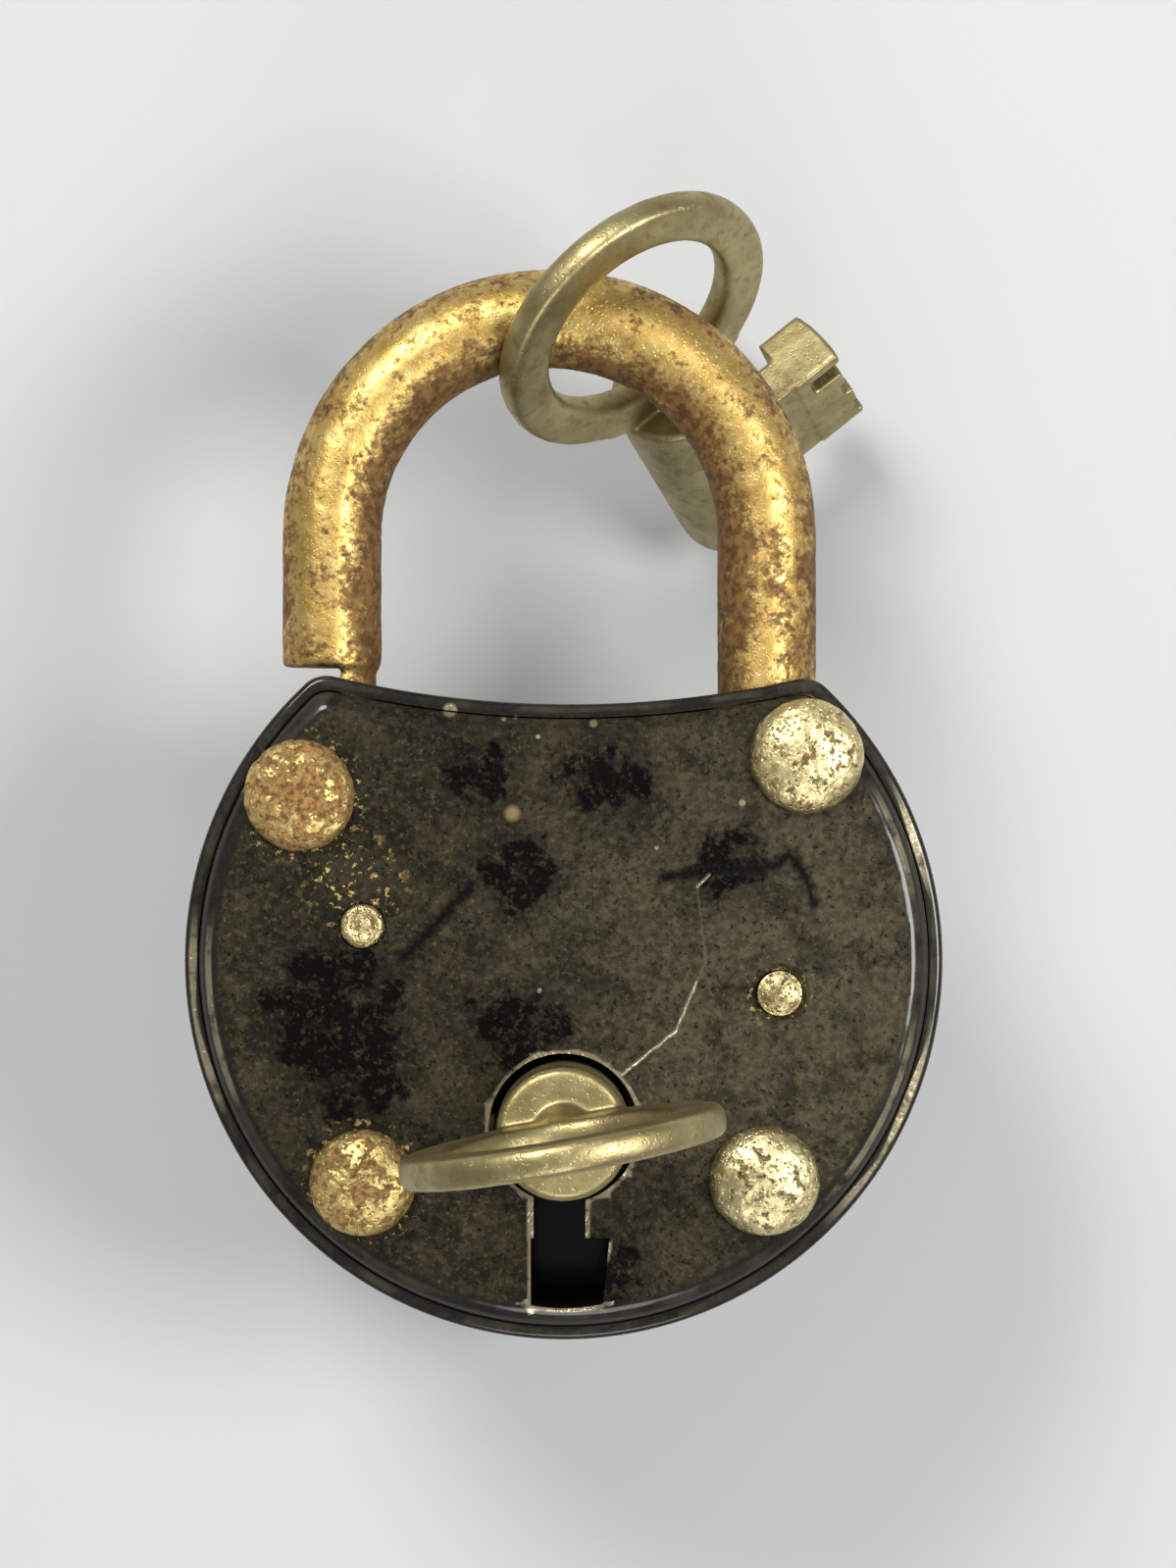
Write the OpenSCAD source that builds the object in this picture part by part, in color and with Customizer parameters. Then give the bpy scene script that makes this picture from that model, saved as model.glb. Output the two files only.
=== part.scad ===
// Round lever padlock with a swinging shackle, its key in the lock and a spare on the shackle.
// Lengths are millimetres. Shapes are drawn in the lock's own plane, x right and y up to the
// shackle, z towards the keyhole side, and turned upright by hang() at the end.

/* [Case] */
// Outer radius of the round case
case_r = 25.4; // [20:0.1:32]
// Thickness of the case over its two faces
case_t = 14; // [12:0.5:20]
// Thickness of the front and back plates
plate_t = 1.2; // [0.8:0.1:2]
// Wall of the outer, back shell
back_wall = 0.9; // [0.6:0.1:1.5]
// Wall of the inner, front shell
front_wall = 1.0; // [0.6:0.1:1.5]
// Rounding along the edge of the front face
front_round = 1.6; // [0.5:0.1:2]
// Step from the front face back to the outer shell's lip
lip_step = 1.6; // [0.8:0.1:3]
// Radius of the hollow top edge
saddle_r = 69; // [50:1:120]
// Height of the centre of that hollow above the case centre
saddle_y = 86.2; // [70:0.1:140]

/* [Shackle] */
// Radius of the shackle rod
rod_r = 3.35; // [2.5:0.05:4.5]
// Distance between the two legs, centre to centre
leg_gap = 29.6; // [24:0.1:36]
// Centre of the heel leg from the middle of the case
heel_x = 13.8; // [12:0.1:16]
// Height where the legs end and the crown's half circle starts
crown_y = 28.75; // [24:0.05:45]
// Height of the shoulder on the toe leg, just clear of the case
shoulder_y = 19.8; // [19.6:0.1:23]
// How far the shackle swings open, degrees
swing_open = 60; // [40:1:60]

/* [Key] */
// Radius of the key's round stem
stem_r = 4.45; // [3.5:0.05:4.8]
// Depth of the cut for each lever, as the radius left on the bit
cut_1 = 10.9; // [8:0.1:11.5]
// Radius left on the bit at the second lever
cut_2 = 11.3; // [8:0.1:11.5]
// Radius left on the bit at the third lever
cut_3 = 10.6; // [8:0.1:11.5]
// Radius left on the bit at the fourth lever
cut_4 = 11.1; // [8:0.1:11.5]
// Radius left on the bit at the fifth lever, nearest the keyhole
cut_5 = 8.7; // [8:0.1:11.5]
// Radius of the ring bow, to the middle of its wire
bow_r = 8.85; // [7:0.05:11]
// How far the key in the lock is turned from upright, degrees
key_turned = 80; // [60:1:100]

/* [Hidden] */
$fn = 96;
cuts = [cut_1, cut_2, cut_3, cut_4, cut_5];
lever_z = [-2.7, -1.35, 0, 1.35, 2.7];
face_z = case_t / 2;
inner_z = face_z - plate_t;
gap = 0.1;
fit = 0.05;
front_r = case_r - back_wall - gap;
inner_r = front_r - front_wall;
saddle_x = 0.5;
front_saddle = saddle_r + back_wall + gap;
inner_saddle = front_saddle + front_wall;
lip_z = face_z - lip_step;
toe_x = heel_x - leg_gap;
crown_x = (heel_x + toe_x) / 2;
crown_r = leg_gap / 2;
hang_y = crown_y + crown_r - rod_r;
pivot = [16.2, 13.7];
rivets = [[-17.6, 11.1], pivot, [-13.4, -14.7], [13.4, -14.6]];
rivet_shank = 1.5;
pivot_shank = 1.4;
head_r = 3.8;
head_h = 2.0;
tail_r = 2.6;
tail_h = 1.3;
lever_pin_at = [-13.4, 2.4];
spring_pin_at = [14.4, -2.1];
pin_r = 1.5;
pin_proud = 0.6;
key_at = [0, -11.1];
hole_r = 5.0;
slot_r = 12.0;
post_r = 2.52;
bore_r = 2.6;
bit_r = 11.4;
window_z = 3.6;
lever_t = 1.2;
hub_r = 2.7;
toe_reach = 31.8;
notch_in = 28.2;
notch_out = 30.6;
toe_end_y = 6.4;
tongue_r = 3.0;
heel_r = 5.6;
eye_r = 2.25;
heel_flat = 2.6;
stem_front = face_z + 5.1;
stem_back = -(inner_z - 0.2);
bow_wire_w = 3.45;
bow_wire_t = 2.15;
bow_edge_r = 1.8;
neck = 0.5;
bow_z = stem_front + neck + bow_r;
spare_ring = [4.66, 43.57, -0.6];
spare_turn = -53.9;
spare_dip = 60.6;
spare_roll = -3;

// Turns the drawing plane upright, with the point inside the crown that it hangs from at the origin.
module hang() {
  translate([-crown_x, 0, -hang_y])
    rotate([90, 0, 0])
      children();
}

module disc(r, low, high) {
  translate([0, 0, low])
    cylinder(r = r, h = high - low);
}

module at(p) {
  translate([p[0], p[1], 0])
    children();
}

// ---- Case ----

// The round body less the hollow at the top, from low to high
module case_solid(r, saddle, low, high) {
  difference() {
    translate([0, 0, low])
      cylinder(r = r, h = high - low, $fn = 180);
    translate([saddle_x, saddle_y, low - 1])
      cylinder(r = saddle, h = high - low + 2, $fn = 360);
  }
}

// Shell profile with one rounded edge at the high end
module round_body(r, low, high, e) {
  rotate_extrude($fn = 180)
    union() {
      translate([0, low])
        square([r - e, high - low]);
      translate([0, low])
        square([r, high - low - e]);
      translate([r - e, high - e])
        intersection() {
          circle(r = e, $fn = 48);
          square([e, e]);
        }
    }
}

// Cutter for the hollow, flared so that it leaves the same rounded edge
module round_saddle(r, low, high, e) {
  translate([saddle_x, saddle_y, 0])
    rotate_extrude($fn = 360)
      union() {
        translate([0, low])
          square([r, high - low + 1]);
        difference() {
          translate([r - 0.01, high - e])
            square([e + 0.01, e + 1]);
          translate([r + e, high - e])
            circle(r = e, $fn = 48);
        }
      }
}

module toe_window() {
  translate([-15.9, 13, -window_z])
    cube([4.1, 9, 2 * window_z]);
}

// Cut-out at the heel, with room for the leg to swing down over the side
module heel_window() {
  translate([0, 0, -window_z])
    linear_extrude(height = 2 * window_z)
      polygon([[9.8, 13.4], [9.8, 24], [30, 24], [30, 20.4], [16.75, 12.75], [15.6, 13.4]]);
}

module keyhole_cut() {
  at(key_at) {
    disc(hole_r, inner_z - 1, face_z + 1);
    translate([-2.0, -(slot_r - 4.5), inner_z - 1])
      cube([3.45, 6, plate_t + 2]);
    intersection() {
      disc(slot_r, inner_z - 1, face_z + 1);
      translate([-2.2, -(slot_r + 1), inner_z - 1])
        cube([5.27, 5.7, plate_t + 2]);
    }
  }
}

module shank_holes(low, high) {
  for (i = [0:3])
    at(rivets[i])
      disc((i == 1 ? pivot_shank : rivet_shank) + fit, low, high);
  at(lever_pin_at)
    disc(pin_r + fit, low, high);
  at(spring_pin_at)
    disc(pin_r + fit, low, high);
}

module front_shell() {
  skirt_low = -inner_z + gap;
  color("#2e2b28")
    difference() {
      round_body(front_r, skirt_low, face_z, front_round);
      round_saddle(front_saddle, skirt_low - 1, face_z, front_round);
      case_solid(inner_r, inner_saddle, skirt_low - 1, inner_z);
      toe_window();
      heel_window();
      keyhole_cut();
      shank_holes(inner_z - 1, face_z + 1);
    }
}

module back_shell() {
  back_round = 1.4;
  lip_in = front_r + gap;
  color("#35302c")
    difference() {
      mirror([0, 0, 1])
        difference() {
          round_body(case_r, -lip_z, face_z, back_round);
          round_saddle(saddle_r, -lip_z - 1, face_z, back_round);
        }
      case_solid(lip_in, front_saddle - gap, -inner_z, lip_z + 1);
      toe_window();
      heel_window();
      shank_holes(-face_z - 1, -inner_z + 1);
      at(key_at)
        disc(1.6 + fit, -face_z - 1, -inner_z + 1);
    }
}

// ---- Fixed pins ----

// A spherical cap of height h on a base of radius r
module dome(r, h) {
  ball = (r * r + h * h) / (2 * h);
  intersection() {
    translate([0, 0, h - ball])
      sphere(r = ball, $fn = 96);
    translate([0, 0, 0])
      cylinder(r = r + 1, h = h + 1);
  }
}

module rivet(p, shank, head) {
  at(p) {
    disc(shank, -face_z - 0.1, face_z + 0.1);
    translate([0, 0, face_z])
      dome(head, head_h);
    translate([0, 0, -face_z])
      mirror([0, 0, 1])
        dome(tail_r, tail_h);
  }
}

module rivet_upper_left() {
  color("#8a6a3a")
    rivet(rivets[0], rivet_shank, head_r);
}

module rivet_upper_right() {
  color("#9a8a70")
    rivet(rivets[1], pivot_shank, head_r + 0.1);
}

module rivet_lower_left() {
  color("#94753f")
    rivet(rivets[2], rivet_shank, head_r - 0.15);
}

module rivet_lower_right() {
  color("#a08a58")
    rivet(rivets[3], rivet_shank, head_r - 0.05);
}

module plain_pin(p) {
  at(p) {
    disc(pin_r, -face_z, face_z + pin_proud - 0.3);
    translate([0, 0, face_z + pin_proud - 0.3])
      intersection() {
        translate([0, 0, -3.6])
          sphere(r = 3.9, $fn = 96);
        cylinder(r = pin_r, h = 1);
      }
  }
}

module lever_pin() {
  color("#9a8a60")
    plain_pin(lever_pin_at);
}

module spring_pin() {
  color("#9a8a60")
    plain_pin(spring_pin_at);
}

// Post that the key's hollow barrel turns on, riveted through the back plate
module key_post() {
  color("#8c8c88")
    at(key_at) {
      disc(post_r, -inner_z, 2.0);
      disc(1.6, -face_z - 0.2, -inner_z + 0.1);
      translate([0, 0, -face_z])
        mirror([0, 0, 1])
          dome(2.3, 0.7);
    }
}

// ---- Levers ----

// Bowed strip from the lever's edge down to the wall
module leaf_plan() {
  leaf_r = 12.0;
  leaf_t = 0.4;
  intersection() {
    translate([-27.4, 0.9])
      difference() {
        circle(r = leaf_r + leaf_t, $fn = 180);
        circle(r = leaf_r, $fn = 180);
      }
    translate([-22, -9.2])
      square([8, 9.8]);
  }
}

// Outline of a lever's arm, nose and tail
module lever_arm() {
  polygon([
    [-12.2, 11.6], [-9.6, 11.6], [-9.6, 6.4], [-10.4, 2.4], [-9.0, -3.6], [-9.0, -12],
    [-15.3, -12], [-15.7, -6], [-16.0, 2.0], [-14.6, 4.9], [-12.0, 5.3], [-11.2, 6.9],
    [-11.2, 9.6], [-12.2, 9.6]
  ]);
}

module lever(i) {
  low = lever_z[i] - lever_t / 2;
  high = low + lever_t;
  color("#a9a58f")
    difference() {
      union() {
        at(lever_pin_at)
          disc(hub_r, low, high);
        translate([0, 0, low])
          linear_extrude(height = lever_t)
            lever_arm();
      }
      at(key_at)
        disc(cuts[i] + 0.3, low - 1, high + 1);
      at(lever_pin_at)
        disc(pin_r + fit, low - 1, high + 1);
      translate([0, 0, low - 1])
        linear_extrude(height = lever_t + 2)
          leaf_plan();
    }
}

// Thin bowed leaf, let into a slit in the lever's edge and bearing on the case wall
module lever_spring(i) {
  leaf_w = 0.9;
  color("#7d7f82")
    translate([0, 0, lever_z[i] - leaf_w / 2])
      linear_extrude(height = leaf_w)
        leaf_plan();
}

module spacer(p, r, hole, low, high) {
  at(p)
    difference() {
      disc(r, low, high);
      disc(hole, low - 1, high + 1);
    }
}

module lever_spacer_back() {
  color("#8c8c88")
    spacer(lever_pin_at, hub_r, pin_r + fit, -inner_z + 0.02, -3.35);
}

module lever_spacer_front() {
  color("#8c8c88")
    spacer(lever_pin_at, hub_r, pin_r + fit, 3.35, inner_z - 0.02);
}

module pivot_spacer_back() {
  color("#8c8c88")
    spacer(pivot, 2.1, pivot_shank + fit, -inner_z + 0.02, -heel_flat - 0.05);
}

module pivot_spacer_front() {
  color("#8c8c88")
    spacer(pivot, 2.1, pivot_shank + fit, heel_flat + 0.05, inner_z - 0.02);
}

// Bent strip with an eye on its pin, one arm under the heel and one towards the wall
module shackle_spring() {
  strip_w = 4.8;
  color("#7d7f82")
    translate([0, 0, -strip_w / 2])
      linear_extrude(height = strip_w)
        union() {
          at(spring_pin_at)
            difference() {
              circle(r = pin_r + fit + 0.5);
              circle(r = pin_r + fit);
            }
          polygon([
            [16.0, -2.3], [16.45, -2.0], [17.4, 3.4], [16.6, 7.75],
            [15.4, 7.95], [15.4, 7.55], [16.2, 7.4], [16.9, 3.4]
          ]);
          polygon([
            [12.9, -1.9], [12.4, -2.3], [12.7, -6.0], [15.6, -12.4],
            [19.3, -12.75], [19.3, -12.35], [15.9, -11.95], [13.15, -5.9]
          ]);
        }
}

// ---- Shackle ----

module rod(low, high) {
  translate([0, low, 0])
    rotate([-90, 0, 0])
      cylinder(r = rod_r, h = high - low);
}

module toe_tongue() {
  difference() {
    intersection() {
      translate([toe_x, toe_end_y, 0])
        rotate([-90, 0, 0])
          cylinder(r = tongue_r, h = shoulder_y + 0.5 - toe_end_y);
      at(pivot)
        disc(toe_reach, -rod_r - 1, rod_r + 1, $fn = 240);
    }
    intersection() {
      at(pivot)
        difference() {
          disc(notch_out, -5, 5, $fn = 240);
          disc(notch_in, -6, 6, $fn = 240);
        }
      at(pivot)
        translate([0, 0, -5])
          linear_extrude(height = 10)
            polygon([
              [0, 0],
              [-40 * cos(3.1), -40 * sin(3.1)],
              [-40 * cos(8.6), -40 * sin(8.6)]
            ]);
    }
  }
}

// Flattened end of the heel leg, rounded about the pivot, with its eye
module heel() {
  flat_top = 17.6;
  difference() {
    union() {
      intersection() {
        translate([heel_x, 0, 0])
          rod(pivot[1], flat_top + 0.1);
        translate([0, 0, -heel_flat])
          cube([40, 40, 2 * heel_flat]);
      }
      intersection() {
        translate([heel_x, 0, 0])
          rod(pivot[1] - heel_r - 1, pivot[1] + 0.1);
        at(pivot)
          disc(heel_r, -heel_flat, heel_flat, $fn = 180);
      }
      at(pivot)
        disc(eye_r, -heel_flat, heel_flat);
    }
    at(pivot)
      disc(pivot_shank + fit, -rod_r - 1, rod_r + 1);
  }
}

module shackle() {
  flat_top = 17.6;
  color("#b08d3f")
    union() {
      translate([toe_x, 0, 0])
        rod(shoulder_y, crown_y);
      translate([heel_x, 0, 0])
        rod(flat_top, crown_y);
      translate([crown_x, crown_y, 0])
        intersection() {
          rotate_extrude($fn = 180)
            translate([crown_r, 0])
              circle(r = rod_r, $fn = 64);
          translate([-30, 0, -10])
            cube([60, 40, 20]);
        }
      toe_tongue();
      heel();
    }
}

// ---- Keys ----

// Key axis on z, bit pointing to -y, shoulder face at stem_front, bow beyond it
module bit_plan(r) {
  intersection() {
    circle(r = r, $fn = 180);
    union() {
      translate([-1.8, -7.5])
        square([3.1, 6]);
      translate([-1.95, -12])
        square([4.85, 4.55]);
    }
  }
}

module bit_slice(r, low, high) {
  translate([0, 0, low])
    linear_extrude(height = high - low)
      bit_plan(r);
}

module key_shape() {
  half = 0.675;
  difference() {
    union() {
      disc(stem_r, stem_back, stem_front - 0.4);
      translate([0, 0, stem_front - 0.4])
        cylinder(r1 = stem_r, r2 = stem_r - 0.4, h = 0.4);
      bit_slice(bit_r, -3.9, lever_z[0] - half);
      for (i = [0:4])
        bit_slice(cuts[i], lever_z[i] - half, lever_z[i] + half);
      bit_slice(bit_r, lever_z[4] + half, 4.3);
      translate([0, 0, stem_front - 0.2])
        cylinder(r1 = 2.2, r2 = 1.2, h = neck + 1.2);
      translate([0, 0, bow_z])
        rotate([90, 0, 90])
          rotate_extrude($fn = 120)
            translate([bow_r, 0])
              intersection() {
                square([bow_wire_w, bow_wire_t], center = true);
                circle(r = bow_edge_r, $fn = 48);
              }
    }
    disc(bore_r, stem_back - 1, 3.0);
  }
}

module key() {
  color("#b4ac82")
    at(key_at)
      rotate([0, 0, -key_turned])
        key_shape();
}

// The spare hangs with its ring round the crown and its stem dipping behind the heel leg
module spare_key() {
  color("#b4ac82")
    translate(spare_ring)
      rotate([0, 0, spare_turn])
        rotate([0, spare_dip, 0])
          rotate([spare_roll, 0, 0])
            rotate([0, -90, 0])
              rotate([0, 0, 180])
                translate([0, 0, -bow_z])
                  key_shape();
}

hang() front_shell();
hang() back_shell();
hang() rivet_upper_left();
hang() rivet_upper_right();
hang() rivet_lower_left();
hang() rivet_lower_right();
hang() lever_pin();
hang() spring_pin();
hang() key_post();
hang() lever(0);  // lever_1
hang() lever(1);  // lever_2
hang() lever(2);  // lever_3
hang() lever(3);  // lever_4
hang() lever(4);  // lever_5
hang() lever_spring(0);  // lever_spring_1
hang() lever_spring(1);  // lever_spring_2
hang() lever_spring(2);  // lever_spring_3
hang() lever_spring(3);  // lever_spring_4
hang() lever_spring(4);  // lever_spring_5
hang() lever_spacer_back();
hang() lever_spacer_front();
hang() pivot_spacer_back();
hang() pivot_spacer_front();
hang() shackle_spring();
hang() shackle();
hang() key();
hang() spare_key();
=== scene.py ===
import math

import bmesh
import bpy
from mathutils import Matrix, Vector, noise


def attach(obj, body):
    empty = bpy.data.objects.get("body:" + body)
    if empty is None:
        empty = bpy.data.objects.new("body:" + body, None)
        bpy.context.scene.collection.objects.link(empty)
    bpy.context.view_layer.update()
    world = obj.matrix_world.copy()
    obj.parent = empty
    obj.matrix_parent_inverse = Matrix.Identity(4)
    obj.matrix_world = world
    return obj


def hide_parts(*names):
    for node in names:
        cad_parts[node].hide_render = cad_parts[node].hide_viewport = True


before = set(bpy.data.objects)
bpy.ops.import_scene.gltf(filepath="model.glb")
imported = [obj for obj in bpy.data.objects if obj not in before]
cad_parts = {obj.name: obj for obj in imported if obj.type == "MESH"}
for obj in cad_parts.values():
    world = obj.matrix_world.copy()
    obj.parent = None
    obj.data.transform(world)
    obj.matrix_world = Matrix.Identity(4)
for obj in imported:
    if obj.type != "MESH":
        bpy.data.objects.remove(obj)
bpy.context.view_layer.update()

# The lock is shaped in its own plane in millimetres: x right, y up to the shackle,
# z out of the keyhole face. TO_FRAME hangs it upright, in metres, from inside its crown.
CROWN_X = -1.0
HANG_Y = 40.2
TO_FRAME = Matrix((
    (0.001, 0, 0, -CROWN_X * 0.001),
    (0, 0, -0.001, 0),
    (0, 0.001, 0, -HANG_Y * 0.001),
    (0, 0, 0, 1),
))
TO_PLANE = TO_FRAME.inverted()

# Case: the faces' outer and inner heights, the outer shell's lip, and the three radii from outside in
FACE_Z = 7.0
INNER_Z = 5.8
LIP_Z = 5.4
CASE_R = 25.4
FRONT_R = 24.4
CAVITY_R = 23.4

# Hollow top: the centre and radius of its circle on the outer shell and on the front shell
SADDLE_X = 0.5
SADDLE_Y = 86.2
SADDLE_R = 69.0
FRONT_SADDLE_R = SADDLE_R + 1.0

# Shackle: the centre of its bend, from there out to the rod's middle, and the toe's shoulder
CROWN_Y = 28.75
LEG_REACH = 14.8
SHOULDER_Y = 19.8

# Key and keyhole: the slot's lengths are from the keyhole's centre, the turn is in degrees
KEY_AT = (0.0, -11.1)
KEYHOLE_R = 5.0
SLOT_FOOT_Y = -7.3
SLOT_END_R = 12.0
KEY_TURNED = 80
BOW_Z = 21.45
BOW_R = 8.85
SPARE_RING = (4.66, 43.57, -0.6)
SPARE_TURN = -53.9
SPARE_DIP = 60.6
SPARE_ROLL = -3

# Rivets as x, y and head radius, with the size of their heads, shanks and tails
RIVETS = {
    "rivet_upper_left": (-17.6, 11.1, 3.75),
    "rivet_upper_right": (16.2, 13.7, 3.85),
    "rivet_lower_left": (-13.4, -14.7, 3.6),
    "rivet_lower_right": (13.4, -14.6, 3.7),
}
RIVET_HEIGHT = 1.97
RIVET_SHANK_R = 1.4
TAIL_R = 2.55
TAIL_HEIGHT = 1.28

# Pins, and the raised blister in the enamel
LEVER_PIN = (-13.4, 2.4)
SPRING_PIN = (14.4, -2.1)
PIN_HOLE_R = 1.56
BLISTER = (-3.4, 9.9)

scene = bpy.context.scene


# ---- Shaping helpers ----

def ball_noise(point, scale, seed, octaves=3):
    """Soft noise from about -1 to 1, with finer layers on top."""
    return noise.fractal(Vector(point) * scale + Vector((seed, seed * 1.7, -seed)), 1.0, 2.0, octaves)


def mesh_object(bm, name):
    """A loose object from a bmesh, still in millimetres."""
    mesh = bpy.data.meshes.new(name)
    bm.to_mesh(mesh)
    bm.free()
    thing = bpy.data.objects.new(name, mesh)
    scene.collection.objects.link(thing)
    return thing


def with_modifiers(thing):
    """A bmesh of the object with its modifiers carried out. The object is removed."""
    bpy.context.view_layer.update()
    seen = thing.evaluated_get(bpy.context.evaluated_depsgraph_get())
    bm = bmesh.new()
    bm.from_mesh(seen.to_mesh())
    seen.to_mesh_clear()
    bpy.data.objects.remove(thing)
    return bm


def cut_away(body, cutters):
    """The body's bmesh less every cutter's."""
    thing = mesh_object(body, "blank")
    tools = []
    for number, cutter in enumerate(cutters):
        bmesh.ops.recalc_face_normals(cutter, faces=cutter.faces)
        tool = mesh_object(cutter, f"cutter_{number}")
        cut = thing.modifiers.new("cut", "BOOLEAN")
        cut.operation = "DIFFERENCE"
        cut.solver = "EXACT"
        cut.object = tool
        tools.append(tool)
    bm = with_modifiers(thing)
    for tool in tools:
        bpy.data.objects.remove(tool)
    bmesh.ops.remove_doubles(bm, verts=bm.verts, dist=0.0005)
    return bm


def bevel_edges(bm, edges, width, steps):
    bmesh.ops.bevel(
        bm, geom=edges, offset=width, offset_type="OFFSET", segments=steps,
        profile=0.5, affect="EDGES", material=-1, clamp_overlap=True,
    )


def finish_piece(bm, name, body, nodes, material, sharp=35):
    """Places a shaped piece in the frame, on its body, and hides the frame parts that it stands for."""
    bm.transform(TO_FRAME)
    piece = mesh_object(bm, name)
    mesh = piece.data
    mesh.shade_smooth()
    mesh.set_sharp_from_angle(angle=math.radians(sharp))
    mesh.materials.append(material)
    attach(piece, body)
    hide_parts(*nodes)
    return piece


# ---- Case shells ----

def arc_points(centre, radius, start, end, steps):
    """Points along an arc, from start to end in radians, without the last one."""
    points = []
    for step in range(steps):
        a = start + (end - start) * step / steps
        points.append((centre[0] + radius * math.cos(a), centre[1] + radius * math.sin(a)))
    return points


def corner_centre(radius, saddle, corner, side):
    """Centre of the small round between the circle and the hollow top, side 1 right, -1 left."""
    near = radius - corner
    far = saddle + corner
    span = math.hypot(SADDLE_X, SADDLE_Y)
    along = (near ** 2 - far ** 2 + span ** 2) / (2 * span)
    across = math.sqrt(near ** 2 - along ** 2)
    ux, uy = SADDLE_X / span, SADDLE_Y / span
    return (ux * along + side * uy * across, uy * along - side * ux * across)


def case_outline(radius, saddle, corner):
    """Outline of the round case with its hollow top and rounded top corners, anticlockwise."""
    right = corner_centre(radius, saddle, corner, 1)
    left = corner_centre(radius, saddle, corner, -1)
    hollow = (SADDLE_X, SADDLE_Y)
    out_right = math.atan2(right[1], right[0])
    out_left = math.atan2(left[1], left[0])
    in_right = math.atan2(right[1] - hollow[1], right[0] - hollow[0])
    in_left = math.atan2(left[1] - hollow[1], left[0] - hollow[0])
    points = arc_points((0, 0), radius, out_left - 2 * math.pi, out_right, 220)
    points += arc_points(right, corner, out_right, in_right + math.pi, 7)
    points += arc_points(hollow, saddle, in_right, in_left, 56)
    points += arc_points(left, corner, in_left + math.pi, out_left, 7)
    return points


def case_block(radius, saddle, corner, low_z, high_z, top_round=0.0, steps=6):
    """Solid block with the case's outline and, if wanted, a rounded edge at its high end."""
    bm = bmesh.new()
    ring = [bm.verts.new((x, y, low_z)) for x, y in case_outline(radius, saddle, corner)]
    face = bm.faces.new(ring)
    grown = bmesh.ops.extrude_face_region(bm, geom=[face])
    lifted = [v for v in grown["geom"] if isinstance(v, bmesh.types.BMVert)]
    bmesh.ops.translate(bm, verts=lifted, vec=(0, 0, high_z - low_z))
    bmesh.ops.recalc_face_normals(bm, faces=bm.faces)
    if top_round:
        rim = [e for e in bm.edges if all(abs(v.co.z - high_z) < 1e-4 for v in e.verts)]
        bevel_edges(bm, rim, top_round, steps)
    return bm


def box_block(x0, y0, z0, x1, y1, z1):
    bm = bmesh.new()
    bmesh.ops.create_cube(bm, size=1)
    bmesh.ops.scale(bm, verts=bm.verts, vec=(x1 - x0, y1 - y0, z1 - z0))
    bmesh.ops.translate(bm, verts=bm.verts, vec=((x0 + x1) / 2, (y0 + y1) / 2, (z0 + z1) / 2))
    return bm


def drum(x, y, r_low, r_high, z0, z1, segments=64):
    bm = bmesh.new()
    bmesh.ops.create_cone(
        bm, cap_ends=True, segments=segments, radius1=r_low, radius2=r_high, depth=z1 - z0,
    )
    bmesh.ops.translate(bm, verts=bm.verts, vec=(x, y, (z0 + z1) / 2))
    return bm


def plate_block(points, z0, z1):
    """Straight-sided block on a polygon."""
    bm = bmesh.new()
    face = bm.faces.new([bm.verts.new((x, y, z0)) for x, y in points])
    grown = bmesh.ops.extrude_face_region(bm, geom=[face])
    lifted = [v for v in grown["geom"] if isinstance(v, bmesh.types.BMVert)]
    bmesh.ops.translate(bm, verts=lifted, vec=(0, 0, z1 - z0))
    return bm


def shackle_windows():
    """Openings in the walls for the toe and for the swinging heel leg."""
    half = 3.6
    toe = box_block(-15.9, 13, -half, -11.8, 22, half)
    heel_outline = [(9.8, 13.4), (15.6, 13.4), (16.75, 12.75), (30, 20.4), (30, 24), (9.8, 24)]
    return [toe, plate_block(heel_outline, -half, half)]


def pin_holes(low_z, high_z):
    return [drum(*at, PIN_HOLE_R, PIN_HOLE_R, low_z, high_z) for at in (LEVER_PIN, SPRING_PIN)]


def keyhole_cutter():
    """Round hole with an L-shaped slot below it, as one cutter."""
    x0, y0 = KEY_AT
    foot_y = y0 + SLOT_FOOT_Y
    outline = arc_points(KEY_AT, KEYHOLE_R, math.radians(-73), math.radians(246), 60)
    outline += [(x0 - 2.0, y0 - 4.58), (x0 - 2.0, foot_y), (x0 - 2.2, foot_y)]
    outline += arc_points(KEY_AT, SLOT_END_R, math.radians(-100.5), math.radians(-75.2), 12)
    outline += [(x0 + 3.07, foot_y), (x0 + 1.46, foot_y)]
    return plate_block(outline, INNER_Z - 1, FACE_Z + 1)


def dent(x, y, at, reach, depth):
    """Round dent, deepest at its middle."""
    d = math.hypot(x - at[0], y - at[1]) / reach
    return -depth * math.exp(-d * d * 2)


def grid_front(bm, face_z, step, up=1):
    """Cuts the flat face into small squares, so that it can take dents."""
    def flat():
        faces = [f for f in bm.faces if f.normal.z * up > 0.99
                 and abs(f.calc_center_median().z - face_z) < 0.05]
        return list({g for f in faces for g in [f, *f.edges, *f.verts]})
    count = int(CASE_R / step)
    for axis in ((1, 0, 0), (0, 1, 0)):
        for n in range(-count, count + 1):
            bmesh.ops.bisect_plane(
                bm, geom=flat(), plane_co=Vector(axis) * (n * step + 0.013), plane_no=axis,
            )


def wear_layer(bm, rule, name="wear"):
    """Stores a value from 0 to 1 at each point, for the materials to read."""
    layer = bm.verts.layers.float.new(name)
    for v in bm.verts:
        v[layer] = min(1.0, max(0.0, rule(v.co)))


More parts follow.
